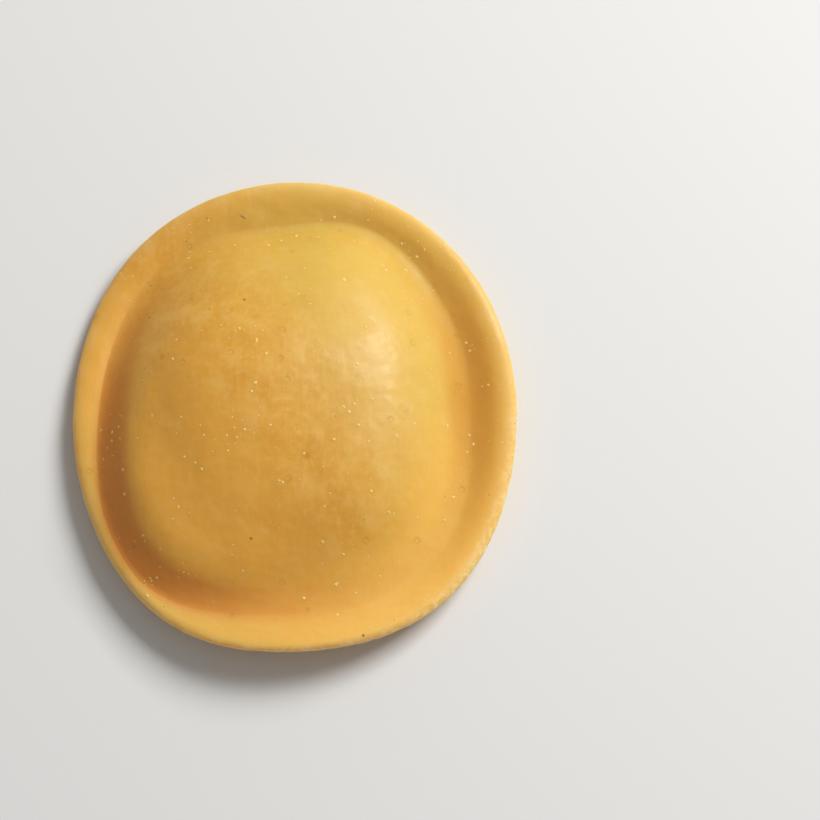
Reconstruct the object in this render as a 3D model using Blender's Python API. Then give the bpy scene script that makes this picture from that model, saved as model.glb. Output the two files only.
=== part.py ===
"""A stuffed round raviolo: two sheets of egg pasta pressed together round a filling.

Metres, +Z up. The origin is on the surface that the raviolo lies on, under the middle of its box.
+Y runs along its longer side, which is also the way that the dough was rolled.
Directions are degrees round +Z, counted from +X towards +Y.
"""

import math

import bmesh
import bpy
from mathutils import Vector

MM = 0.001

# The cut outline is nearly an ellipse that swells a little towards four corners.
HALF_WIDTH = 26.7 * MM
HALF_LENGTH = 28.7 * MM
OUTLINE_SQUARENESS = 2.04
CORNER_SWELLS = (
    # towards, spread over, pushed out by
    (68.0, 30.0, 0.35 * MM),
    (137.0, 25.0, 0.85 * MM),
    (245.0, 28.0, 1.40 * MM),
    (306.0, 30.0, 1.30 * MM),
)

# The lip is rounded over this width, which is narrower along one side, near the filling.
LIP_ROUNDING = 2.4 * MM
LIP_ROUNDING_SWELLS = (
    # towards, spread over, widened by
    (230.0, 35.0, -0.90 * MM),
    (285.0, 30.0, -1.20 * MM),
)

# The pillow of filling is squarer, and lies nearer the edge in some directions.
PILLOW_HALF_WIDTH = 22.0 * MM
PILLOW_HALF_LENGTH = 23.9 * MM
PILLOW_SQUARENESS = 2.35
PILLOW_SWELLS = (
    # towards, spread over, pushed out by
    (0.0, 50.0, -1.20 * MM),
    (42.0, 22.0, -1.00 * MM),
    (75.0, 20.0, 1.20 * MM),
    (90.0, 30.0, -1.40 * MM),
    (195.0, 40.0, 1.00 * MM),
    (230.0, 25.0, 2.00 * MM),
    (275.0, 30.0, 0.40 * MM),
    (322.0, 28.0, 0.50 * MM),
)

# Its crown falls from an off-centre apex, which is rounded over. The fall is the share of the
# height that would be lost by the groove.
PILLOW_TOP = 12.6 * MM
APEX_X = -5.2 * MM
APEX_Y = 3.0 * MM
APEX_ROUNDING = 3.0 * MM
CROWN_FALL = 0.36
CROWN_FALL_SWELLS = ((275.0, 50.0, 0.18),)
CROWN_ROUNDING = 1.5

# Outside the crown the flank drops into the groove, and a soft ridge runs along one shoulder.
SHOULDER_SHARPNESS = 5.0
FLANK_ROUNDING = 1.1
FLANK_ROUNDING_SWELLS = ((0.0, 45.0, 0.55),)
FLANK_TOE = 0.15
SHOULDER_RIDGES = (
    # towards, spread over, raised by
    (150.0, 40.0, -0.90 * MM),
    (205.0, 50.0, 1.90 * MM),
)
RIDGE_PLACE = 0.88
RIDGE_SPREAD = 0.17

# The filling lies in lumps and hollows.
FILLING_LUMPS = (
    # middle along X, middle along Y, spread over, raised by
    (9.0 * MM, 5.0 * MM, 8.0 * MM, 0.20 * MM),
    (8.0 * MM, -12.0 * MM, 8.0 * MM, 0.50 * MM),
    (-8.0 * MM, 14.0 * MM, 8.0 * MM, -0.80 * MM),
)

# The groove is pressed tight at the far end of the pillow and left soft elsewhere.
FILLET = 1.3 * MM
FILLET_SWELLS = (
    # towards, spread over, widened by
    (5.0, 40.0, 1.00 * MM),
    (200.0, 40.0, 2.50 * MM),
    (298.0, 42.0, 3.20 * MM),
)

# The dough is thinnest in the groove and thickest at its lip.
GROOVE_THICKNESS = 1.6 * MM
LIP_THICKNESS = 1.8 * MM
LIP_THICKNESS_SWELLS = ((5.0, 60.0, 0.60 * MM),)

# The underside is flat in the middle and curls up to the edge, more in some directions.
BASE_RADIUS = 10.0 * MM
EDGE_LIFT = 2.5 * MM
EDGE_CURL = 1.7
EDGE_LIFT_SWELLS = (
    # towards, spread over, raised by
    (100.0, 30.0, 1.35 * MM),
    (150.0, 30.0, -1.80 * MM),
    (205.0, 40.0, -1.25 * MM),
    (270.0, 30.0, 2.00 * MM),
    (318.0, 28.0, -1.15 * MM),
)

# Stations of the section, counted from the top's middle to the underside's middle.
PILLOW_STATIONS = 16
RIM_STATIONS = 6
LIP_STATIONS = 6
UNDER_STATIONS = 8
LAST_STATION = PILLOW_STATIONS + RIM_STATIONS + LIP_STATIONS + UNDER_STATIONS
CROWDING = 1.3
TURN_STEPS = 84

# A half round needs handles of 4/3 of its radius, in a cubic Bezier curve.
ROUND_HANDLE = 4.0 / 3.0
SLOPE_STEP = 0.1 * MM
MERGE_DISTANCE = 1e-5

DOUGH_COLOUR = (0.765, 0.42, 0.06, 1.0)
DOUGH_ROUGHNESS = 0.5


def swell(direction, swells):
    """The sum of soft bumps round the raviolo: each fades to nothing past its spread."""
    total = 0.0
    for towards, spread, size in swells:
        away = (math.degrees(direction) - towards + 180.0) % 360.0 - 180.0
        total += size * math.exp(-((away / spread) ** 2))
    return total


def rounded_reach(direction, half_width, half_length, squareness):
    """How far a superellipse reaches from its middle in this direction."""
    across = abs(math.cos(direction)) / half_width
    along = abs(math.sin(direction)) / half_length
    return (across**squareness + along**squareness) ** (-1.0 / squareness)


def edge_reach(direction):
    rounded = rounded_reach(direction, HALF_WIDTH, HALF_LENGTH, OUTLINE_SQUARENESS)
    return rounded + swell(direction, CORNER_SWELLS)


def crest_reach(direction):
    """How far the lip's top lies from the middle: outside it, the dough rounds down to the cut."""
    return edge_reach(direction) - LIP_ROUNDING - swell(direction, LIP_ROUNDING_SWELLS)


def groove_reach(direction):
    rounded = rounded_reach(direction, PILLOW_HALF_WIDTH, PILLOW_HALF_LENGTH, PILLOW_SQUARENESS)
    return rounded + swell(direction, PILLOW_SWELLS)


def underside_height(direction, reach):
    """Flat over the base, then curling up to the edge."""
    lift = EDGE_LIFT + swell(direction, EDGE_LIFT_SWELLS)
    share = (reach - BASE_RADIUS) / (edge_reach(direction) - BASE_RADIUS)
    return lift * max(share, 0.0) ** EDGE_CURL


def smooth_step(share):
    share = min(max(share, 0.0), 1.0)
    return share * share * (3.0 - 2.0 * share)


def smooth_max(first, second, fillet):
    near = max(fillet - abs(first - second), 0.0) / fillet
    return max(first, second) + near * near * fillet / 4.0


def rim_height(direction, reach):
    """The pressed dough's topside: it thickens from the groove to the lip."""
    groove = groove_reach(direction)
    thicker = smooth_step((reach - groove) / (crest_reach(direction) - groove))
    lip_thickness = LIP_THICKNESS + swell(direction, LIP_THICKNESS_SWELLS)
    thickness = GROOVE_THICKNESS + (lip_thickness - GROOVE_THICKNESS) * thicker
    return underside_height(direction, reach) + thickness


def lumps_height(direction, reach):
    """How much the lumps of filling raise the dough here."""
    x, y = reach * math.cos(direction), reach * math.sin(direction)
    return sum(
        raised * math.exp(-((x - middle_x) ** 2 + (y - middle_y) ** 2) / spread**2)
        for middle_x, middle_y, spread, raised in FILLING_LUMPS
    )


def flank_share(direction, outward):
    """1 on the crown, 0 at the groove; a toe carries it on smoothly to a little below 0."""
    rounding = FLANK_ROUNDING + swell(direction, FLANK_ROUNDING_SWELLS)
    inside = max(1.0 - outward**SHOULDER_SHARPNESS + FLANK_TOE, 0.0)
    toe = FLANK_TOE**rounding
    return (inside**rounding - toe) / ((1.0 + FLANK_TOE) ** rounding - toe)


def crown_height(direction, reach):
    """The crown's height. The apex counts for less and less towards the groove.

    The uneven fall and span count for less and less towards the middle, so the height there is
    the same whichever direction it is worked out in."""
    groove = groove_reach(direction)
    away = min(reach / groove, 1.0) ** 2
    from_apex = math.hypot(
        reach * math.cos(direction) - APEX_X * (1.0 - away),
        reach * math.sin(direction) - APEX_Y * (1.0 - away),
        APEX_ROUNDING,
    )
    span = PILLOW_HALF_WIDTH + (groove - PILLOW_HALF_WIDTH) * away
    fall = CROWN_FALL + swell(direction, CROWN_FALL_SWELLS) * away
    return PILLOW_TOP * (1.0 - fall * (from_apex / span) ** CROWN_ROUNDING)


def topside_height(direction, reach):
    """The pillow's dome, filleted into the groove, then the rim that rises to the lip."""
    groove = groove_reach(direction)
    floor = rim_height(direction, groove)
    outward = reach / groove
    flank = flank_share(direction, outward)
    dome = floor + (crown_height(direction, reach) - floor) * flank
    dome += lumps_height(direction, reach) * max(flank, 0.0)
    along_ridge = math.exp(-(((outward - RIDGE_PLACE) / RIDGE_SPREAD) ** 2))
    dome += swell(direction, SHOULDER_RIDGES) * along_ridge
    fillet = FILLET + swell(direction, FILLET_SWELLS)
    return smooth_max(dome, rim_height(direction, reach), fillet)


def lip_point(direction, share):
    """(reach, height) round the lip, from its top at share 0 to its underside at share 1.

    The curve is a cubic Bezier whose two handles follow the slope of the rim."""
    crest = crest_reach(direction)
    below, above = crest - SLOPE_STEP, crest + SLOPE_STEP
    rise = underside_height(direction, above) - underside_height(direction, below)
    handle_length = ROUND_HANDLE * (edge_reach(direction) - crest)
    handle = Vector((1.0, rise / (above - below))) * handle_length
    top = Vector((crest, topside_height(direction, crest)))
    under = Vector((crest, underside_height(direction, crest)))
    stay = 1.0 - share
    return (
        top * stay**3
        + (top + handle) * 3.0 * stay**2 * share
        + (under + handle) * 3.0 * stay * share**2
        + under * share**3
    )


def raviolo_point(direction, station):
    """Where a point of the blank goes, from its direction and its station along the section."""
    groove = groove_reach(direction)
    crest = crest_reach(direction)
    if station <= PILLOW_STATIONS:
        reach = groove * (1.0 - (1.0 - station / PILLOW_STATIONS) ** CROWDING)
        height = topside_height(direction, reach)
    elif station <= PILLOW_STATIONS + RIM_STATIONS:
        reach = groove + (crest - groove) * (station - PILLOW_STATIONS) / RIM_STATIONS
        height = topside_height(direction, reach)
    elif station < LAST_STATION - UNDER_STATIONS:
        share = (station - PILLOW_STATIONS - RIM_STATIONS) / LIP_STATIONS
        reach, height = lip_point(direction, share)
    else:
        reach = crest * (LAST_STATION - station) / UNDER_STATIONS
        height = underside_height(direction, reach)
    return reach * math.cos(direction), reach * math.sin(direction), height


def turned_ball():
    """A ball turned from half a ring of stations, as the blank that the raviolo is shaped from."""
    ball = bmesh.new()
    section = []
    for station in range(LAST_STATION + 1):
        polar = math.pi * station / LAST_STATION
        section.append(ball.verts.new((math.sin(polar), 0.0, math.cos(polar))))
    edges = [ball.edges.new(pair) for pair in zip(section, section[1:])]
    bmesh.ops.spin(
        ball,
        geom=section + edges,
        cent=(0.0, 0.0, 0.0),
        axis=(0.0, 0.0, 1.0),
        angle=2.0 * math.pi,
        steps=TURN_STEPS,
        use_merge=True,
    )
    bmesh.ops.remove_doubles(ball, verts=ball.verts[:], dist=MERGE_DISTANCE)
    return ball


def shape_raviolo(ball):
    """Moves each point of the ball to its place, then centres the raviolo on its box."""
    for vert in ball.verts:
        direction = math.atan2(vert.co.y, vert.co.x)
        polar = vert.co.angle(Vector((0.0, 0.0, 1.0)))
        vert.co = raviolo_point(direction, round(polar / math.pi * LAST_STATION))
    across = [vert.co.x for vert in ball.verts]
    along = [vert.co.y for vert in ball.verts]
    middle = Vector((min(across) + max(across), min(along) + max(along), 0.0)) / 2.0
    bmesh.ops.translate(ball, verts=ball.verts[:], vec=-middle)
    print("moved by", [round(-shift / MM, 3) for shift in middle], "mm to centre it")


def dough_material():
    material = bpy.data.materials.new("egg_dough")
    material.use_nodes = True
    shader = material.node_tree.nodes["Principled BSDF"]
    shader.inputs["Base Color"].default_value = DOUGH_COLOUR
    shader.inputs["Roughness"].default_value = DOUGH_ROUGHNESS
    shader.inputs["Metallic"].default_value = 0.0
    return material


def make_raviolo():
    ball = turned_ball()
    shape_raviolo(ball)
    bmesh.ops.recalc_face_normals(ball, faces=ball.faces[:])
    mesh = bpy.data.meshes.new("raviolo")
    ball.to_mesh(mesh)
    ball.free()
    mesh.materials.append(dough_material())
    mesh.shade_smooth()
    raviolo = bpy.data.objects.new("raviolo", mesh)
    bpy.context.scene.collection.objects.link(raviolo)


for leftover in list(bpy.data.objects):
    bpy.data.objects.remove(leftover)
make_raviolo()
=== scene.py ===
# %% [markdown]
# # A raviolo, made as a lesson
# A raviolo is two thin sheets of egg pasta with a spoonful of filling between them. The cook
# presses the dough together round the filling and cuts the shape out with a round cutter. So it
# has four parts that the eye can read: the pillow that the filling lifts, the groove that the
# press leaves round it, the flat rim, and the rounded lip at the cut.
#
# The measured model of it comes first, as a frame. Everything here is in metres, +Z is up, and
# +Y is the way that the dough was rolled.

# %% Load the frame
import math
import random

import bmesh
import bpy
import numpy as np
from mathutils import Matrix, Vector, noise


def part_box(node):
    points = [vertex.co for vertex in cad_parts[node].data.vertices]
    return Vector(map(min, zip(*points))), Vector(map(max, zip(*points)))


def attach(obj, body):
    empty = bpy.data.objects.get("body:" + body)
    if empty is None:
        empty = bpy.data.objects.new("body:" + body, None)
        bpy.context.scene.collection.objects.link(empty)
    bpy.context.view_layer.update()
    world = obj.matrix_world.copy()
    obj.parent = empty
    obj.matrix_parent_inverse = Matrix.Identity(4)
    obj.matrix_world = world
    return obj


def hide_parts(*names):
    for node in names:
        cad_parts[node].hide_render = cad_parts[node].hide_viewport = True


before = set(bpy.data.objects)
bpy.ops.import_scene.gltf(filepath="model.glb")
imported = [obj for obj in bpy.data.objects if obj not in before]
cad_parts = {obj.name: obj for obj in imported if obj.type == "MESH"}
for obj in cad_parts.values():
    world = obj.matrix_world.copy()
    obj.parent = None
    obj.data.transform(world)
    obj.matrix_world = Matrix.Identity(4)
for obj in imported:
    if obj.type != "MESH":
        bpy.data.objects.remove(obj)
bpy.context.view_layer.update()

MM = 0.001
low, high = (Vector(corner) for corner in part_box("raviolo"))
size = high - low
print("the raviolo is", [round(side / MM, 1) for side in size], "mm")

# %% [markdown]
# ## The camera
# The camera stands nearly overhead, a little towards the near edge, as when you look down at a
# board that you are about to pick the raviolo up from. A long lens keeps the round outline round.
# The raviolo sits left of the middle, so the camera looks at a point to its right.

# %% Camera
CAMERA_HEIGHT_ANGLE = math.radians(74.0)
CAMERA_LENS = 120.0
SENSOR = 36.0
VIEW_WIDTH = 98.65 * MM
LOOK_RIGHT = 13.9 * MM
LOOK_UP = 0.65 * MM
RIM_HEIGHT = 3.2 * MM
CLIP_START = 10.0 * MM

towards_camera = Vector((0.0, -math.cos(CAMERA_HEIGHT_ANGLE), math.sin(CAMERA_HEIGHT_ANGLE)))
picture_up = Vector((0.0, math.sin(CAMERA_HEIGHT_ANGLE), math.cos(CAMERA_HEIGHT_ANGLE)))
middle = Vector(((low.x + high.x) / 2.0, (low.y + high.y) / 2.0, low.z + RIM_HEIGHT))
looked_at = middle + Vector((LOOK_RIGHT, 0.0, 0.0)) + picture_up * LOOK_UP
camera_distance = VIEW_WIDTH * CAMERA_LENS / SENSOR

camera_data = bpy.data.cameras.new("camera")
camera_data.lens = CAMERA_LENS
camera_data.sensor_width = SENSOR
camera_data.clip_start = CLIP_START
camera = bpy.data.objects.new("camera", camera_data)
camera.location = looked_at + towards_camera * camera_distance
camera.rotation_euler = towards_camera.to_track_quat("Z", "Y").to_euler()
bpy.context.scene.collection.objects.link(camera)
bpy.context.scene.camera = camera
print("the camera is", round(camera_distance, 3), "m away")

# %% [markdown]
# ## The cut outline
# The cutter is round, but soft dough stretches as it is lifted, so the outline is nearly an
# ellipse that swells at four corners. The lip is rounded over a narrower width along the near
# edge, where the filling lies close and pulls the dough tight.
#
# Each uneven spot is one row of a small table: which way it lies, in degrees round +Z, how far it
# spreads, and how much it adds. A soft bump for each row is easier to read and to change than a
# long outline.

# %% Sizes of the outline and the lip
CORNER_SWELLS = (
    (68.0, 30.0, 0.35 * MM),
    (137.0, 25.0, 0.85 * MM),
    (245.0, 28.0, 1.40 * MM),
    (306.0, 30.0, 1.30 * MM),
)
OUTLINE_SQUARENESS = 2.04
HALF_WIDTH = size.x / 2.0
HALF_LENGTH = 28.7 * MM
LIP_ROUNDING = 2.4 * MM
LIP_ROUNDING_SWELLS = ((230.0, 35.0, -0.90 * MM), (285.0, 30.0, -1.20 * MM))
print("cut about", round((HALF_WIDTH + HALF_LENGTH) / MM, 1), "mm across")

# %% [markdown]
# ## The pillow of filling
# The pillow is squarer than the outline, and lies nearer the edge on one side, as the filling
# never lands quite in the middle. Its crown falls away from an apex that is off centre, and falls
# more towards the near end. Outside the crown the flank drops into the groove. The toe carries
# its slope a little past the groove's line, so that the flank ends in a soft foot and not in a
# step.
#
# A shoulder ridge is a row of its own, laid along the top of the flank: the filling stands up
# there on the left, and sinks further round towards the far end. Three lumps and hollows in the
# crown finish it.

# %% Sizes of the pillow
PILLOW_HALF_WIDTH = 22.0 * MM
PILLOW_HALF_LENGTH = 23.9 * MM
PILLOW_SQUARENESS = 2.35
PILLOW_SWELLS = (
    (0.0, 50.0, -1.20 * MM),
    (42.0, 22.0, -1.00 * MM),
    (75.0, 20.0, 1.20 * MM),
    (90.0, 30.0, -1.40 * MM),
    (195.0, 40.0, 1.00 * MM),
    (230.0, 25.0, 2.00 * MM),
    (275.0, 30.0, 0.40 * MM),
    (322.0, 28.0, 0.50 * MM),
)
PILLOW_TOP = 12.6 * MM
APEX = (-5.2 * MM, 3.0 * MM)
APEX_ROUNDING = 3.0 * MM
CROWN_FALL = 0.36
CROWN_FALL_SWELLS = ((275.0, 50.0, 0.18),)
CROWN_ROUNDING = 1.5
SHOULDER_SHARPNESS = 5.0
SHOULDER_RIDGES = (
    (150.0, 40.0, -0.90 * MM),
    (205.0, 50.0, 1.90 * MM),
)
RIDGE_PLACE, RIDGE_SPREAD = 0.88, 0.17
FLANK_ROUNDING = 1.1
FLANK_ROUNDING_SWELLS = ((0.0, 45.0, 0.55),)
FLANK_TOE = 0.15
# Each lump: its middle along X and Y, how far it spreads, and how much it is raised.
FILLING_LUMPS = (
    (9.0 * MM, 5.0 * MM, 8.0 * MM, 0.20 * MM),
    (8.0 * MM, -12.0 * MM, 8.0 * MM, 0.50 * MM),
    (-8.0 * MM, 14.0 * MM, 8.0 * MM, -0.80 * MM),
)
print("the pillow is about", round(2.0 * PILLOW_HALF_WIDTH / MM), "mm across")

# %% [markdown]
# ## The groove, the rim and the underside
# A fillet is the soft curve in which the flank meets the rim: it is narrow where the dough was
# pressed tight, and wide where it was only laid down. The rim is thinnest in the groove and
# thickest at its lip. The underside is flat in the middle, where the raviolo rests, and curls up
# to the edge as the dough dries, more in some directions than in others.

# %% Sizes of the groove, the rim and the underside
FILLET = 1.3 * MM
FILLET_SWELLS = (
    (5.0, 40.0, 1.00 * MM),
    (200.0, 40.0, 2.50 * MM),
    (298.0, 42.0, 3.20 * MM),
)
GROOVE_THICKNESS = 1.6 * MM
LIP_THICKNESS = 1.8 * MM
LIP_THICKNESS_SWELLS = ((5.0, 60.0, 0.60 * MM),)
BASE_RADIUS = 10.0 * MM
EDGE_LIFT = 2.5 * MM
EDGE_CURL = 1.7
EDGE_LIFT_SWELLS = (
    (100.0, 30.0, 1.35 * MM),
    (150.0, 30.0, -1.80 * MM),
    (205.0, 40.0, -1.25 * MM),
    (270.0, 30.0, 2.00 * MM),
    (318.0, 28.0, -1.15 * MM),
)
print("it rests on a flat about", round(2.0 * BASE_RADIUS / MM), "mm across")

# %% [markdown]
# ## How far and how high: the rules of the shape
# Every point of the dough is found from two numbers: its direction round the middle, and how far
# it is along the section from the top to the underside. The rules below say how far the edge and
# the groove reach in a direction, and how high the two sides of the dough are there. They take
# whole arrays of directions at once, which is many times faster than one point at a time.

# %% Reach rules
def swell(direction, swells):
    """The sum of soft bumps round the raviolo: each fades to nothing past its spread."""
    total = np.zeros_like(direction)
    for towards, spread, amount in swells:
        away = (np.degrees(direction) - towards + 180.0) % 360.0 - 180.0
        total += amount * np.exp(-((away / spread) ** 2))
    return total


def rounded_reach(direction, half_width, half_length, squareness):
    """How far a superellipse reaches from its middle in each direction."""
    across = np.abs(np.cos(direction)) / half_width
    along = np.abs(np.sin(direction)) / half_length
    return (across**squareness + along**squareness) ** (-1.0 / squareness)


def edge_reach(direction):
    rounded = rounded_reach(direction, HALF_WIDTH, HALF_LENGTH, OUTLINE_SQUARENESS)
    return rounded + swell(direction, CORNER_SWELLS)


def crest_reach(direction):
    """How far out the lip's top is: outside it, the dough rounds down to the cut."""
    return edge_reach(direction) - LIP_ROUNDING - swell(direction, LIP_ROUNDING_SWELLS)


def groove_reach(direction):
    pillow = rounded_reach(direction, PILLOW_HALF_WIDTH, PILLOW_HALF_LENGTH, PILLOW_SQUARENESS)
    return pillow + swell(direction, PILLOW_SWELLS)


quarters = np.radians([0.0, 90.0, 180.0, 270.0])
print("the edge reaches", np.round(edge_reach(quarters) / MM, 1), "mm")
print("the groove reaches", np.round(groove_reach(quarters) / MM, 1), "mm")


# %% Height rules for the rim and the underside
def smooth_step(share):
    share = np.clip(share, 0.0, 1.0)
    return share * share * (3.0 - 2.0 * share)


def smooth_max(first, second, fillet):
    """The higher of two heights, with the crease between them filled by a fillet."""
    near = np.maximum(fillet - np.abs(first - second), 0.0) / fillet
    return np.maximum(first, second) + near * near * fillet / 4.0


def underside_height(direction, reach):
    lift = EDGE_LIFT + swell(direction, EDGE_LIFT_SWELLS)
    share = (reach - BASE_RADIUS) / (edge_reach(direction) - BASE_RADIUS)
    return lift * np.maximum(share, 0.0) ** EDGE_CURL


def rim_height(direction, reach):
    """The pressed dough's topside: it thickens from the groove to the lip."""
    groove, crest = groove_reach(direction), crest_reach(direction)
    thicker = smooth_step((reach - groove) / (crest - groove))
    lip_thickness = LIP_THICKNESS + swell(direction, LIP_THICKNESS_SWELLS)
    thickness = GROOVE_THICKNESS + (lip_thickness - GROOVE_THICKNESS) * thicker
    return underside_height(direction, reach) + thickness


rim_top = rim_height(quarters, crest_reach(quarters))
print("the rim's top stands", np.round(rim_top / MM, 1), "mm up")


# %% Height rules for the pillow
def lumps_height(direction, reach):
    x, y = reach * np.cos(direction), reach * np.sin(direction)
    return sum(
        raised * np.exp(-((x - lump_x) ** 2 + (y - lump_y) ** 2) / spread**2)
        for lump_x, lump_y, spread, raised in FILLING_LUMPS
    )


def flank_share(direction, outward):
    """1 on the crown, 0 at the groove; the toe carries it on to a little below 0."""
    inside = 1.0 - outward**SHOULDER_SHARPNESS
    rounding = FLANK_ROUNDING + swell(direction, FLANK_ROUNDING_SWELLS)
    toe = FLANK_TOE**rounding
    whole = (1.0 + FLANK_TOE) ** rounding - toe
    return (np.maximum(inside + FLANK_TOE, 0.0) ** rounding - toe) / whole


def crown_height(direction, reach):
    """The crown's height. Towards the groove, the apex counts for less and less, and towards
    the middle, the uneven fall and span do, so that all directions agree there."""
    groove = groove_reach(direction)
    away = np.minimum(reach / groove, 1.0) ** 2
    x = reach * np.cos(direction) - APEX[0] * (1.0 - away)
    y = reach * np.sin(direction) - APEX[1] * (1.0 - away)
    from_apex = np.sqrt(x**2 + y**2 + APEX_ROUNDING**2)
    fall = CROWN_FALL + swell(direction, CROWN_FALL_SWELLS) * away
    span = PILLOW_HALF_WIDTH + (groove - PILLOW_HALF_WIDTH) * away
    return PILLOW_TOP * (1.0 - fall * (from_apex / span) ** CROWN_ROUNDING)


def topside_height(direction, reach):
    """The pillow's dome, filleted into the groove, then the rim that rises to the lip."""
    groove = groove_reach(direction)
    floor_height = rim_height(direction, groove)
    outward = reach / groove
    flank = flank_share(direction, outward)
    dome = floor_height + (crown_height(direction, reach) - floor_height) * flank
    dome += lumps_height(direction, reach) * np.maximum(flank, 0.0)
    ridge = np.exp(-(((outward - RIDGE_PLACE) / RIDGE_SPREAD) ** 2))
    dome += swell(direction, SHOULDER_RIDGES) * ridge
    fillet = FILLET + swell(direction, FILLET_SWELLS)
    return smooth_max(dome, rim_height(direction, reach), fillet)


half_way = topside_height(quarters, groove_reach(quarters) / 2.0)
print("half way to the groove the pillow is", np.round(half_way / MM, 1), "mm high")


# %% [markdown]
# ## The section, from the top to the underside
# A sheet of paper could not be wrapped round the raviolo, but a ball can be pushed into its
# shape. A share of 0 is the ball's top and 1 its bottom. The first stretch of shares makes the
# pillow, the next the rim, then the lip turns round the cut, and the last is the underside. More
# of the ball goes where the eye looks: the pillow and the rim.
#
# The lip is a cubic Bezier curve whose two handles follow the slope of the rim, so that it meets
# both sides without a crease. Handles of 4/3 of its radius make such a curve nearly a half round.

# %% Where a point of the ball goes
PILLOW_SHARE = 0.50
RIM_SHARE = 0.61
LIP_SHARE = 0.70
CROWDING = 1.2
ROUND_HANDLE = 4.0 / 3.0
SLOPE_STEP = 0.1 * MM


def lip_points(direction, share):
    """(reach, height) round the lip, from its top at share 0 to its underside at share 1."""
    crest = crest_reach(direction)
    below, above = crest - SLOPE_STEP, crest + SLOPE_STEP
    rise = underside_height(direction, above) - underside_height(direction, below)
    handle_reach = (edge_reach(direction) - crest) * ROUND_HANDLE
    handle_rise = handle_reach * rise / (2.0 * SLOPE_STEP)
    top, under = topside_height(direction, crest), underside_height(direction, crest)
    stay = 1.0 - share
    reach = crest + 3.0 * stay * share * handle_reach
    height = (
        top * stay**2 * (1.0 + 2.0 * share)
        + under * share**2 * (1.0 + 2.0 * stay)
        + 3.0 * stay * share * handle_rise
    )
    return reach, height


def raviolo_points(direction, share):
    """Where the ball's points go, from their directions and their shares."""
    groove, crest = groove_reach(direction), crest_reach(direction)
    along_pillow = np.clip(share / PILLOW_SHARE, 0.0, 1.0)
    along_rim = np.clip((share - PILLOW_SHARE) / (RIM_SHARE - PILLOW_SHARE), 0.0, 1.0)
    along_lip = np.clip((share - RIM_SHARE) / (LIP_SHARE - RIM_SHARE), 0.0, 1.0)
    along_under = np.clip((share - LIP_SHARE) / (1.0 - LIP_SHARE), 0.0, 1.0)
    top_reach = groove * (1.0 - (1.0 - along_pillow) ** CROWDING) + (crest - groove) * along_rim
    lip_reach, lip_height = lip_points(direction, along_lip)
    under_reach = crest * (1.0 - along_under)
    on_top, on_lip = share <= RIM_SHARE, share <= LIP_SHARE
    reach = np.where(on_top, top_reach, np.where(on_lip, lip_reach, under_reach))
    height = np.where(
        on_top,
        topside_height(direction, top_reach),
        np.where(on_lip, lip_height, underside_height(direction, under_reach)),
    )
    return np.stack((reach * np.cos(direction), reach * np.sin(direction), height), axis=1)


ring_shares = np.full_like(quarters, (RIM_SHARE + LIP_SHARE) / 2.0)
lip_middle = raviolo_points(quarters, ring_shares)
print("the middle of the lip is", np.round(lip_middle[:, 2] / MM, 1), "mm up")


# %% [markdown]
# ## The dough's blank: a ball made from a cube
# A sphere with poles would crowd its points at the middle of the pillow, just where the light
# shows every dent. A cube whose faces are cut into a fine grid and pushed out to a ball has no
# poles, and its cells stay nearly square. The tangent spaces the cells evenly round the ball.

# %% Make the ball
BALL_CUTS = 126

ball = bmesh.new()
bmesh.ops.create_cube(ball, size=2.0)
bmesh.ops.subdivide_edges(ball, edges=ball.edges[:], cuts=BALL_CUTS, use_grid_fill=True)
for vert in ball.verts:
    vert.co = Vector([math.tan(c * math.pi / 4.0) for c in vert.co]).normalized()
dough_mesh = bpy.data.meshes.new("dough")
ball.to_mesh(dough_mesh)
ball.free()
print("the ball has", len(dough_mesh.polygons), "cells")

# %% [markdown]
# ## Press the ball into a raviolo
# Reading every point's direction and share off the ball and writing its new place is all that
# the pressing takes. The two numbers are kept, because the relief and the colours use them too.
# The measured model was centred on its box, so the same small shift is found here.

# %% Shape it
def read_points(mesh):
    flat = np.empty(len(mesh.vertices) * 3)
    mesh.vertices.foreach_get("co", flat)
    return flat.reshape(-1, 3)


def write_points(mesh, points):
    mesh.vertices.foreach_set("co", points.ravel())
    mesh.update()


on_ball = read_points(dough_mesh)
direction = np.arctan2(on_ball[:, 1], on_ball[:, 0])
share = np.arccos(np.clip(on_ball[:, 2], -1.0, 1.0)) / math.pi
points = raviolo_points(direction, share)
points[:, :2] -= (points[:, :2].min(axis=0) + points[:, :2].max(axis=0)) / 2.0
write_points(dough_mesh, points)
print("pressed to", [round(side / MM, 2) for side in np.ptp(points, axis=0)], "mm")

# %% [markdown]
# ## Relief
# Real dough is never as smooth as a formula. The filling pushes it up in soft lumps, the skin
# has a fine orange peel where it dried, the rollers leave faint streaks along +Y, and the cutter
# tears the edge a little and shows the seam between the two sheets. Most of it could be a bump in
# the material, but only moved points show at the edge and are kept when the mesh is exported. So
# each is a layer of noise that moves points along the surface's own normals. The noise has a fixed
# seed, so it gives the same lumps each time.

# %% Noise that is measured in metres
SEED_STEPS = (17.3, 5.9, 11.1)


def soft_noise(points, width, seed, stretch=1.0):
    """Noise from -1 to 1 with features about width wide, stretched along Y."""
    place = Vector([seed * step for step in SEED_STEPS])
    scaled = points / np.array((width, width * stretch, width))
    return np.array([noise.noise(Vector(point) + place) for point in scaled])


def normals_of(mesh):
    flat = np.empty(len(mesh.vertices) * 3)
    mesh.vertices.foreach_get("normal", flat)
    return flat.reshape(-1, 3)


# %% [markdown]
# ## Where the pillow, the rim and the cut are
# The relief and the colours are laid on by place, so each point gets a few shares from 0 to 1.
# They come from the same direction and share as the shape does, so they follow it exactly. The
# turn of the lip runs from 0 at its top to 1 at its underside.

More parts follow.
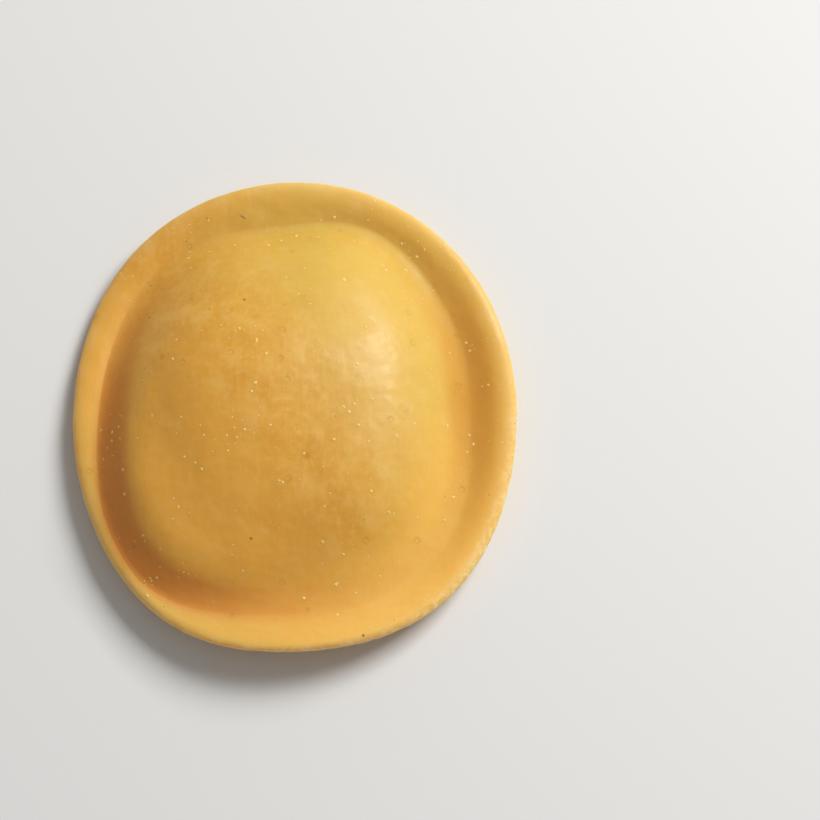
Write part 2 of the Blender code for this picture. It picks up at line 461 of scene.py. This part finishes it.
# %% Places: the pillow, the top, the rim and the cut
PILLOW_FADE_FROM = 0.72
CUT_FADE, CUT_END = 0.35, 1.15
TOP_FADE_FROM, TOP_FADE = 0.6, 0.6
RIM_FADE = 1.5 * MM

reach = np.hypot(points[:, 0], points[:, 1])
past_groove = reach - groove_reach(direction)
outward = reach / groove_reach(direction)
lip_turn = (share - RIM_SHARE) / (LIP_SHARE - RIM_SHARE)
on_pillow = 1.0 - smooth_step((share / PILLOW_SHARE - PILLOW_FADE_FROM) / (1.0 - PILLOW_FADE_FROM))
on_cut = smooth_step(lip_turn / CUT_FADE) * smooth_step((CUT_END - lip_turn) / CUT_FADE)
on_top = 1.0 - smooth_step((lip_turn - TOP_FADE_FROM) / TOP_FADE)
on_rim = smooth_step(past_groove / RIM_FADE)
print("the cut has", int((on_cut > 0.5).sum()), "points of", len(points))

# %% [markdown]
# ## Where the colour changes
# The groove is painted darker and redder as shade, over a faint tint of the thinner pressed dough:
# most on the left, less on the right, and hardly at all between. On the left the painted shade lies
# a little further in than on the right. Light and shade are painted across the whole raviolo, from
# shaded amber at the near left to lit straw yellow at the far right. The near right side is
# coloured paler, and the front of the rim a little. The rim is painted paler at the near left as
# fill light, and a little at the right.

# %% Places: the groove's painted shade, the painted lit side, the paler side and the painted rim light
TINT_TOWARDS = math.radians(20.0)
TINT_SHIFT, TINT_DRIFT = -0.35 * MM, 1.05 * MM
TINT_HALF_WIDTH, TINT_WIDENING = 2.8 * MM, 0.22
TINT_EVERYWHERE = 0.2
GROOVE_SHADE_SWELLS = ((8.0, 36.0, 0.72), (205.0, 50.0, 0.80))
# Painted light and shade run across the raviolo along this direction, near the key light's.
LIT_SIDE_TOWARDS, LIT_SIDE_SPAN = math.radians(36.0), 44.0 * MM
PALE_SIDE_SWELLS = ((318.0, 38.0, 1.0),)
PALE_SIDE_FROM, PALE_SIDE_FADE = 0.55, 0.4
PALE_FRONT_RIM_SWELLS = ((262.0, 30.0, 0.45),)
RIM_LIGHT_SWELLS = ((228.0, 42.0, 1.0), (2.0, 22.0, 0.35))

# Painted shade: the groove is painted darker and redder where shade falls, most on the shaded left,
# over a faint even tint of the thinner pressed dough.
tint_side = np.cos(direction - TINT_TOWARDS)
from_tint = past_groove - TINT_SHIFT - TINT_DRIFT * tint_side
tint_half_width = TINT_HALF_WIDTH * (1.0 + TINT_WIDENING * tint_side)
groove_shade = np.exp(-((from_tint / tint_half_width) ** 4)) * on_top
groove_shade *= TINT_EVERYWHERE + swell(direction, GROOVE_SHADE_SWELLS)

# Painted light and shade: from 0 on the shaded near left to 1 on the lit far right.
toward_lit_side = points[:, 0] * math.cos(LIT_SIDE_TOWARDS) + points[:, 1] * math.sin(LIT_SIDE_TOWARDS)
lit_side = smooth_step(toward_lit_side / LIT_SIDE_SPAN + 0.5)
# The near right of the pillow and the front of the rim are coloured paler; the cut there also
# carries flour crumbs.
pale_and_floury = swell(direction, PALE_SIDE_SWELLS) * smooth_step((outward - PALE_SIDE_FROM) / PALE_SIDE_FADE)
pale_and_floury = np.clip(pale_and_floury + swell(direction, PALE_FRONT_RIM_SWELLS) * on_rim, 0.0, 1.0)
# Painted light: the rim is painted paler at the near left, standing in for fill light there, and a
# little at the right.
rim_light = np.clip(swell(direction, RIM_LIGHT_SWELLS), 0.0, 1.0) * on_rim * on_top
print("the groove's tint is at most", round(float(groove_shade.max()), 2))

# %% [markdown]
# ## Move the points
# The five layers of noise go from broad to fine: lumps and knobs of filling, the orange peel, the
# rollers' streaks, and the tears. The cutter tears the dough mostly where it is dry with flour,
# and leaves it calm elsewhere. The seam is a narrow dent half way round the lip. No point may go
# below the surface that the raviolo lies on.

# %% Move the points
LUMP_WIDTH, LUMP_HEIGHT = 7.0 * MM, 0.13 * MM
KNOB_WIDTH, KNOB_HEIGHT = 2.6 * MM, 0.045 * MM
PEEL_WIDTH, PEEL_HEIGHT = 0.9 * MM, 0.022 * MM
STREAK_WIDTH, STREAK_STRETCH, STREAK_HEIGHT = 0.8 * MM, 9.0, 0.007 * MM
TEAR_WIDTH, TEAR_DEPTH, TEAR_CALM = 0.7 * MM, 0.09 * MM, 0.2
TEAR_SWAY_WIDTH, TEAR_SWAY = TEAR_WIDTH * 3.0, 0.6
SEAM_PLACE, SEAM_WIDTH, SEAM_DEPTH = 0.52, 0.09, 0.10 * MM

relief = LUMP_HEIGHT * soft_noise(points, LUMP_WIDTH, 1) * on_pillow
relief += KNOB_HEIGHT * soft_noise(points, KNOB_WIDTH, 2) * on_top
relief += PEEL_HEIGHT * soft_noise(points, PEEL_WIDTH, 3) * on_top
relief += STREAK_HEIGHT * soft_noise(points, STREAK_WIDTH, 4, STREAK_STRETCH) * on_top
tears = soft_noise(points, TEAR_WIDTH, 5) + TEAR_SWAY * soft_noise(points, TEAR_SWAY_WIDTH, 6)
relief += TEAR_DEPTH * tears * on_cut * (TEAR_CALM + (1.0 - TEAR_CALM) * pale_and_floury)
relief -= SEAM_DEPTH * np.exp(-(((lip_turn - SEAM_PLACE) / SEAM_WIDTH) ** 2))
points = points + normals_of(dough_mesh) * relief[:, None]
points[:, 2] = np.maximum(points[:, 2], 0.0)
print("relief from", round(relief.min() / MM, 3), "to", round(relief.max() / MM, 3), "mm")

# %% [markdown]
# The relief may push a point just outside the measured box. The raviolo is scaled back into it
# by a hair, so that it takes up exactly the room that was measured.

# %% Fit the box
lowest, highest = points.min(axis=0), points.max(axis=0)
fit = np.array(size) / (highest - lowest)
points = (points - lowest) * fit + np.array(low)
write_points(dough_mesh, points)
print("scaled by", np.round(fit, 4))

dough = bpy.data.objects.new("dough", dough_mesh)
bpy.context.scene.collection.objects.link(dough)
dough_mesh.shade_smooth()
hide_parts("raviolo")
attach(dough, "root")


# %% [markdown]
# ## What the material needs to know
# A material can't work out for itself where the groove or the cut is. So each point of the mesh
# carries the five shares for it as attributes, and the material reads them by name.

# %% Keep the masks on the mesh
def keep_mask(mesh, name, values):
    layer = mesh.attributes.new(name, "FLOAT", "POINT")
    layer.data.foreach_set("value", values.astype(np.float32))
    print("kept", name, "with a mean of", round(float(values.mean()), 3))


keep_mask(dough_mesh, "groove", groove_shade)
keep_mask(dough_mesh, "cut", on_cut)
keep_mask(dough_mesh, "lit_side", lit_side)
keep_mask(dough_mesh, "pale_and_floury", pale_and_floury)
keep_mask(dough_mesh, "rim_light", rim_light)


# %% [markdown]
# ## Building a material from nodes
# A few helpers keep the node trees short to read: one adds a node and sets its values or links,
# and the others wrap the nodes that are used again and again: a range that is stretched and
# clamped, a sum of two values, and a mix of two colours.

# %% Node helpers
def new_material(name):
    material = bpy.data.materials.new(name)
    material.use_nodes = True
    return material, material.node_tree, material.node_tree.nodes["Principled BSDF"]


def plug_in(tree, socket, value):
    """Link a socket into this one, or set its value."""
    if isinstance(value, bpy.types.NodeSocket):
        tree.links.new(value, socket)
    else:
        socket.default_value = value


def add_node(tree, kind, inputs=None, **settings):
    node = tree.nodes.new(kind)
    for key, value in settings.items():
        setattr(node, key, value)
    for key, value in (inputs or {}).items():
        plug_in(tree, node.inputs[key], value)
    return node


def ramp(tree, value, low_value, high_value, low_out=0.0, high_out=1.0):
    """value, stretched smoothly from one range to another and clamped."""
    limits = {
        "From Min": low_value,
        "From Max": high_value,
        "To Min": low_out,
        "To Max": high_out,
    }
    node = add_node(
        tree, "ShaderNodeMapRange", {"Value": value, **limits}, interpolation_type="SMOOTHSTEP"
    )
    return node.outputs["Result"]


def combined(tree, operation, first, second):
    return add_node(tree, "ShaderNodeMath", {0: first, 1: second}, operation=operation).outputs[0]


def tinted(tree, share_socket, first, second):
    """first, mixed with the colour second by share."""
    node = add_node(tree, "ShaderNodeMix", data_type="RGBA")
    for index, value in ((0, share_socket), (6, first), (7, second)):
        plug_in(tree, node.inputs[index], value)
    return node.outputs[2]


def dough_noise(tree, vector, width, detail=3.0, roughness=0.55):
    """Noise from 0 to 1 with features about width wide."""
    node = add_node(
        tree,
        "ShaderNodeTexNoise",
        {"Vector": vector, "Scale": 1.0 / width, "Detail": detail, "Roughness": roughness},
    )
    return node.outputs["Fac"]


# %% [markdown]
# ## The egg dough
# Egg yolk makes the dough golden. It isn't one colour: the flour and the yolk mix in soft
# blotches, a fine mottle lies over them, and rolling draws streaks out along +Y. One flat yellow
# would look like plastic. Each pattern is noise at the size that the real one has, read from the
# place on the object, so it needs no picture and no unwrapping.

# %% Patterns in the dough
material, tree, shader = new_material("egg_dough_skin")
place = add_node(tree, "ShaderNodeTexCoord").outputs["Object"]
along_roll = add_node(
    tree, "ShaderNodeMapping", {"Vector": place, "Scale": (1.0, 0.09, 1.0)}
).outputs["Vector"]
blotches = dough_noise(tree, place, 3.2 * MM)
mottle = dough_noise(tree, place, 0.75 * MM)
streaks = dough_noise(tree, along_roll, 0.55 * MM, 2.0)
flour_film = dough_noise(tree, place, 1.6 * MM, 5.0, 0.65)
print("the dough's patterns take", len(tree.nodes), "nodes so far")


# %% The five masks, read back from the mesh
def read_mask(name):
    return add_node(tree, "ShaderNodeAttribute", attribute_name=name).outputs["Fac"]


groove_shade_mask = read_mask("groove")
cut_mask = read_mask("cut")
lit_side_mask = read_mask("lit_side")
pale_and_floury_mask = read_mask("pale_and_floury")
rim_light_mask = read_mask("rim_light")
print("with its masks the dough takes", len(tree.nodes), "nodes")

# %% The golden ground
GOLD = (0.765, 0.410, 0.055, 1.0)
PALE_GOLD = (0.80, 0.465, 0.105, 1.0)
DEEP_GOLD = (0.715, 0.350, 0.040, 1.0)

colour = tinted(tree, ramp(tree, blotches, 0.30, 0.70), DEEP_GOLD, GOLD)
for pattern, start, full, strength, tint in (
    (blotches, 0.50, 0.72, 0.60, PALE_GOLD),
    (mottle, 0.50, 0.74, 0.60, PALE_GOLD),
    (streaks, 0.52, 0.76, 0.42, PALE_GOLD),
    (streaks, 0.46, 0.24, 0.42, DEEP_GOLD),
):
    colour = tinted(tree, ramp(tree, pattern, start, full, 0.0, strength), colour, tint)
print("with its ground the dough takes", len(tree.nodes), "nodes")

# %% [markdown]
# ## From side to side
# The colour drifts over the whole raviolo as painted light and shade: amber on the shaded near left
# and straw yellow on the lit far right. A thin film of flour lies over both, more on the lit side,
# so it is partly painted light too. On the near right the amber is paler, and the rim at the near
# left is painted paler as fill light. The groove's painted shade is brown on the shaded side and
# orange on the lit one.

# %% Paint light and shade on the sides, the rim and the groove
# Painted light and shade: straw yellow for the lit side, amber for the shaded side.
LIT_SIDE_YELLOW = (0.685, 0.450, 0.076, 1.0)
SHADED_SIDE_AMBER = (0.82, 0.412, 0.058, 1.0)
FILM = (0.775, 0.490, 0.150, 1.0)
PALE_AMBER = (0.865, 0.495, 0.085, 1.0)
PAINTED_RIM_LIGHT = (0.800, 0.480, 0.095, 1.0)
# The groove's painted shade: brown on the shaded side, orange on the lit side.
GROOVE_SHADE_BROWN = (0.735, 0.240, 0.041, 1.0)
GROOVE_SHADE_ORANGE = (0.64, 0.290, 0.032, 1.0)

# Paint the shaded near left amber and the lit far right straw yellow.
colour = tinted(tree, ramp(tree, lit_side_mask, 0.5, 0.0, 0.0, 0.8), colour, SHADED_SIDE_AMBER)
colour = tinted(tree, ramp(tree, lit_side_mask, 0.35, 1.0, 0.0, 0.9), colour, LIT_SIDE_YELLOW)
# The flour film is weighted towards the lit side, so it adds painted light there.
lit_side_share = ramp(tree, lit_side_mask, 0.0, 1.0, 0.35, 1.0)
film_patches = ramp(tree, flour_film, 0.50, 0.72, 0.0, 0.40)
flour_and_light_share = combined(tree, "MULTIPLY", film_patches, lit_side_share)
colour = tinted(tree, flour_and_light_share, colour, FILM)
# Colour the near right side and the front of the rim paler.
colour = tinted(tree, ramp(tree, pale_and_floury_mask, 0.0, 1.0, 0.0, 0.85), colour, PALE_AMBER)
# Painted fill light: the rim paler at the near left, and a little at the right.
colour = tinted(tree, rim_light_mask, colour, PAINTED_RIM_LIGHT)
# Paint the groove's shade, brown on the shaded side and orange on the lit one.
groove_shade_colour = tinted(tree, lit_side_mask, GROOVE_SHADE_BROWN, GROOVE_SHADE_ORANGE)
colour = tinted(tree, ramp(tree, groove_shade_mask, 0.0, 1.0, 0.0, 0.8), colour, groove_shade_colour)
print("with its tints the dough takes", len(tree.nodes), "nodes")

# %% [markdown]
# ## Flour at the cut, and pits
# Flour clings to the cut: a thin even coat all round, and crumbs of it on the near right side.
# Small pits are left where bubbles in the dough have burst, each with a faint brown ring. They come
# from Voronoi cells, which give one round spot a cell. Only some of the cells get a pit, and a
# wobble in the place that they are read from keeps the rings from being true circles.

# %% Flour and pits
FLOUR = (0.90, 0.70, 0.38, 1.0)
PIT_BROWN = (0.50, 0.22, 0.03, 1.0)
PIT_CELL = 3.0 * MM
PIT_WOBBLE_WIDTH, PIT_WOBBLE = 0.45 * MM, 0.35 * MM

crumbs = ramp(tree, mottle, 0.42, 0.62)
calm_flour = ramp(tree, blotches, 0.30, 0.70, 0.05, 0.20)
rough_flour = combined(tree, "MULTIPLY", pale_and_floury_mask, ramp(tree, crumbs, 0.0, 1.0, 0.1, 0.65))
flour_amount = combined(tree, "ADD", calm_flour, rough_flour)
colour = tinted(tree, combined(tree, "MULTIPLY", cut_mask, flour_amount), colour, FLOUR)

wobble = add_node(
    tree, "ShaderNodeTexNoise", {"Vector": place, "Scale": 1.0 / PIT_WOBBLE_WIDTH}
).outputs["Color"]
wobble = add_node(
    tree, "ShaderNodeVectorMath", {0: wobble, 3: PIT_WOBBLE}, operation="SCALE"
).outputs["Vector"]
uneven_place = add_node(
    tree, "ShaderNodeVectorMath", {0: place, 1: wobble}, operation="ADD"
).outputs["Vector"]
pits = add_node(tree, "ShaderNodeTexVoronoi", {"Vector": uneven_place, "Scale": 1.0 / PIT_CELL})
pit_distance = pits.outputs["Distance"]
cell_number = add_node(tree, "ShaderNodeSeparateColor", {0: pits.outputs["Color"]}).outputs[0]
pit_here = ramp(tree, cell_number, 0.52, 0.56)
ring_inside = ramp(tree, pit_distance, 0.05, 0.10)
ring_outside = ramp(tree, pit_distance, 0.18, 0.12)
pit_ring = combined(tree, "MULTIPLY", ring_inside, ring_outside)
pit_ring = combined(tree, "MULTIPLY", pit_ring, pit_here)
colour = tinted(tree, ramp(tree, pit_ring, 0.0, 1.0, 0.0, 0.26), colour, PIT_BROWN)
tree.links.new(colour, shader.inputs["Base Color"])
print("the dough's colour takes", len(tree.nodes), "nodes")

# %% [markdown]
# ## The dough's gloss and its fine skin
# The gloss is soft and broken. The skin has dried unevenly, so it is rough in broad patches, and
# the mottle adds a little. The groove is the roughest, because the press dulls it. Light enters
# the dough and comes out redder nearby, which is what subsurface scattering is for. The finest
# relief, under a fifth of a millimetre, and the depth of the pits are a bump.

# %% Gloss, scattering and bump
GROOVE_DULLNESS = 0.35
SCATTER_REACH = 3.5 * MM
BUMP_HEIGHT = 0.06 * MM

dry_patches = dough_noise(tree, place, 8.0 * MM, 2.0)
mottled_gloss = ramp(tree, mottle, 0.3, 0.7, 0.0, 0.08)
patched_gloss = ramp(tree, dry_patches, 0.40, 0.60, 0.38, 0.54)
gloss = combined(tree, "ADD", mottled_gloss, patched_gloss)
dull_groove = combined(tree, "MULTIPLY", groove_shade_mask, GROOVE_DULLNESS)
gloss = combined(tree, "ADD", gloss, dull_groove)
tree.links.new(gloss, shader.inputs["Roughness"])
for name, value in (
    ("Subsurface Weight", 0.6),
    ("Subsurface Radius", (1.0, 0.35, 0.12)),
    ("Subsurface Scale", SCATTER_REACH),
    ("IOR", 1.5),
    ("Specular IOR Level", 0.42),
):
    shader.inputs[name].default_value = value

fine_skin = dough_noise(tree, place, 0.28 * MM, 4.0, 0.6)
pit_depth = combined(tree, "MULTIPLY", ramp(tree, pit_distance, 0.14, 0.05), pit_here)
heights = combined(tree, "ADD", fine_skin, streaks)
heights = combined(tree, "SUBTRACT", heights, pit_depth)
bump = add_node(
    tree, "ShaderNodeBump", {"Height": heights, "Strength": 0.26, "Distance": BUMP_HEIGHT}
)
tree.links.new(bump.outputs["Normal"], shader.inputs["Normal"])
dough_mesh.materials.append(material)
print("the dough's material has", len(tree.nodes), "nodes")

# %% [markdown]
# ## Semolina and bran
# Coarse semolina is dusted on the board and rolled into the skin: cream grains, half sunk, up to
# about half a millimetre across. Brown flecks of bran lie among them, and one long sliver of it on
# the far rim. They are real little solids, because at this size a painted spot would have no shadow
# and no shine.
#
# Each grain is a small ball, squashed and turned at random, sunk into the dough at a point that
# is picked at random on the surface. More semolina is picked where noise says that the dusting was
# thick. All the grains of a kind are joined in one mesh.

# %% Pick places on the dough
DUSTING_WIDTH = 9.0 * MM
DUSTING_SHIFT, DUSTING_POWER = 0.25, 1.5
THIN_DUSTING, THICK_DUSTING = 0.25, 3.0


def read_faces(name, numbers):
    flat = np.empty(len(dough_mesh.polygons) * numbers)
    dough_mesh.polygons.foreach_get(name, flat)
    return flat.reshape(-1, numbers)


face_area = read_faces("area", 1).ravel()
face_middle = read_faces("center", 3)
face_normal = read_faces("normal", 3)


def pick_faces(count, weight, seed):
    """Faces picked at random, each at most once, by area and weight."""
    chance = face_area * weight
    return np.random.default_rng(seed).choice(
        len(chance), size=count, replace=False, p=chance / chance.sum()
    )


dusty = np.maximum(soft_noise(face_middle, DUSTING_WIDTH, 7) + DUSTING_SHIFT, 0.0)
dusting = THIN_DUSTING + dusty**DUSTING_POWER * THICK_DUSTING
facing_up = np.clip(face_normal[:, 2] * 1.5 + 0.2, 0.0, 1.0)
print("the dough has", len(face_area), "faces,", int((facing_up > 0.0).sum()), "of them facing up")


# %% One grain
GRAIN_UNEVENNESS = 0.06


def lay_grain(grains, face, size, turn, sunk, dice):
    """A squashed little ball that lies along a face, sunk into it by a share of its height."""
    length, width, height = size
    normal = Vector(face_normal[face])
    lie = normal.to_track_quat("Z", "Y").to_matrix().to_4x4()
    made = bmesh.ops.create_icosphere(
        grains,
        subdivisions=2,
        radius=0.5,
        matrix=Matrix.Translation(Vector(face_middle[face]) - normal * height * sunk)
        @ lie
        @ Matrix.Rotation(turn, 4, "Z")
        @ Matrix.Diagonal((length, width, height, 1.0)),
    )
    for vert in made["verts"]:
        vert.co += normal * height * dice.uniform(-GRAIN_UNEVENNESS, GRAIN_UNEVENNESS)
        vert.co.z = min(vert.co.z, high.z)


# %% One kind of grain
SMALL_GRAINS = 2.5  # the higher, the more of the grains are small
NARROWEST_GRAIN = 0.55


def scatter(name, count, weight, seed, shortest, longest, thickness, sunk, slivers=()):
    """A joined mesh of grains on picked faces, and of slivers at chosen places."""
    dice = random.Random(seed)
    grains = bmesh.new()
    for face in pick_faces(count, weight, seed):
        length = shortest + (longest - shortest) * dice.random() ** SMALL_GRAINS
        width = length * dice.uniform(NARROWEST_GRAIN, 1.0)
        turn = dice.uniform(0.0, math.tau)
        lay_grain(grains, face, (length, width, width * thickness), turn, sunk, dice)
    for x, y, length, width, turn in slivers:
        away = np.hypot(face_middle[:, 0] - x, face_middle[:, 1] - y)
        face = int(np.argmin(np.where(face_normal[:, 2] > 0.0, away, np.inf)))
        lay_grain(grains, face, (length, width, width * thickness), turn, sunk, dice)
    mesh = bpy.data.meshes.new(name)
    grains.to_mesh(mesh)
    grains.free()
    mesh.shade_smooth()
    piece = bpy.data.objects.new(name, mesh)
    bpy.context.scene.collection.objects.link(piece)
    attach(piece, "root")
    print(name, "has", count + len(slivers), "grains and", len(mesh.polygons), "triangles")
    return piece


# %% Scatter the semolina and the bran
# Each sliver: its middle along X and Y, its length and width, and how far it is turned.
BRAN_SLIVERS = ((-6.4 * MM, 24.9 * MM, 1.30 * MM, 0.17 * MM, math.radians(-36.0)),)

semolina = scatter(
    "semolina",
    count=480,
    weight=dusting * facing_up,
    seed=11,
    shortest=0.15 * MM,
    longest=0.55 * MM,
    thickness=0.38,
    sunk=0.22,
)
bran = scatter(
    "bran",
    count=30,
    weight=facing_up,
    seed=12,
    shortest=0.15 * MM,
    longest=0.38 * MM,
    thickness=0.30,
    sunk=0.05,
    slivers=BRAN_SLIVERS,
)

# %% [markdown]
# ## What the grains are made of
# Semolina is cream and a little glossy, and bran is brown and duller. Each is two tones of one
# colour, in patches about as wide as a grain, so that no two grains look alike.

# %% Semolina and bran materials
CREAM = (0.90, 0.60, 0.18, 1.0)
CREAM_SHADE = (0.82, 0.49, 0.10, 1.0)
BRAN_BROWN = (0.34, 0.16, 0.040, 1.0)
BRAN_LIGHT = (0.50, 0.26, 0.070, 1.0)


GLOSS_SPREAD = 0.08


def speckled(name, first, second, width, roughness):
    """A material of two tones in patches, with a gloss that varies with them."""
    material, tree, shader = new_material(name)
    place = add_node(tree, "ShaderNodeTexCoord").outputs["Object"]
    patches = add_node(tree, "ShaderNodeTexNoise", {"Vector": place, "Scale": 1.0 / width})
    patches = patches.outputs["Fac"]
    colour = tinted(tree, ramp(tree, patches, 0.35, 0.65), first, second)
    gloss = ramp(tree, patches, 0.3, 0.7, roughness - GLOSS_SPREAD, roughness + GLOSS_SPREAD)
    tree.links.new(colour, shader.inputs["Base Color"])
    tree.links.new(gloss, shader.inputs["Roughness"])
    return material


semolina.data.materials.append(speckled("semolina_cream", CREAM_SHADE, CREAM, 0.6 * MM, 0.42))
bran.data.materials.append(speckled("bran_brown", BRAN_BROWN, BRAN_LIGHT, 0.5 * MM, 0.6))
print("made", [piece.data.materials[0].name for piece in (semolina, bran)])

# %% [markdown]
# ## The stage
# A plain pale floor and soft light, as in a small studio. The key light is a large soft panel
# high at the far right, so the shadows fall to the near left and are soft. The sky around gives
# the rest, which keeps the shadowed side of the pillow readable.

# %% Floor
FLOOR_HALF = 1.5
FLOOR_GREY = (0.78, 0.77, 0.75, 1.0)

floor_shape = bmesh.new()
bmesh.ops.create_grid(floor_shape, x_segments=1, y_segments=1, size=FLOOR_HALF)
floor_mesh = bpy.data.meshes.new("floor")
floor_shape.to_mesh(floor_mesh)
floor_shape.free()
floor = bpy.data.objects.new("floor", floor_mesh)
bpy.context.scene.collection.objects.link(floor)
floor_material, floor_tree, floor_shader = new_material("pale_floor")
floor_shader.inputs["Base Color"].default_value = FLOOR_GREY
floor_shader.inputs["Roughness"].default_value = 0.7
floor_mesh.materials.append(floor_material)
print("the floor is", 2.0 * FLOOR_HALF, "m wide")


# %% Lights
def panel_light(name, towards_degrees, height_degrees, distance, width, power):
    """A square panel of light that looks at the raviolo."""
    turn, rise = math.radians(towards_degrees), math.radians(height_degrees)
    way = Vector((math.cos(rise) * math.cos(turn), math.cos(rise) * math.sin(turn), math.sin(rise)))
    data = bpy.data.lights.new(name, "AREA")
    data.size = width
    data.energy = power
    lamp = bpy.data.objects.new(name, data)
    lamp.location = middle + way * distance
    lamp.rotation_euler = way.to_track_quat("Z", "Y").to_euler()
    bpy.context.scene.collection.objects.link(lamp)
    print(name, "is", distance, "m away and has", power, "W")


panel_light(
    "key_light", towards_degrees=40.0, height_degrees=43.0, distance=0.7, width=0.32, power=5.1
)

SKY_WHITE = (1.0, 1.0, 1.0, 1.0)
SKY_STRENGTH = 0.29

world = bpy.data.worlds.new("studio")
world.use_nodes = True
sky = world.node_tree.nodes["Background"]
sky.inputs["Color"].default_value = SKY_WHITE
sky.inputs["Strength"].default_value = SKY_STRENGTH
bpy.context.scene.world = world
bpy.context.scene.view_settings.view_transform = "Standard"
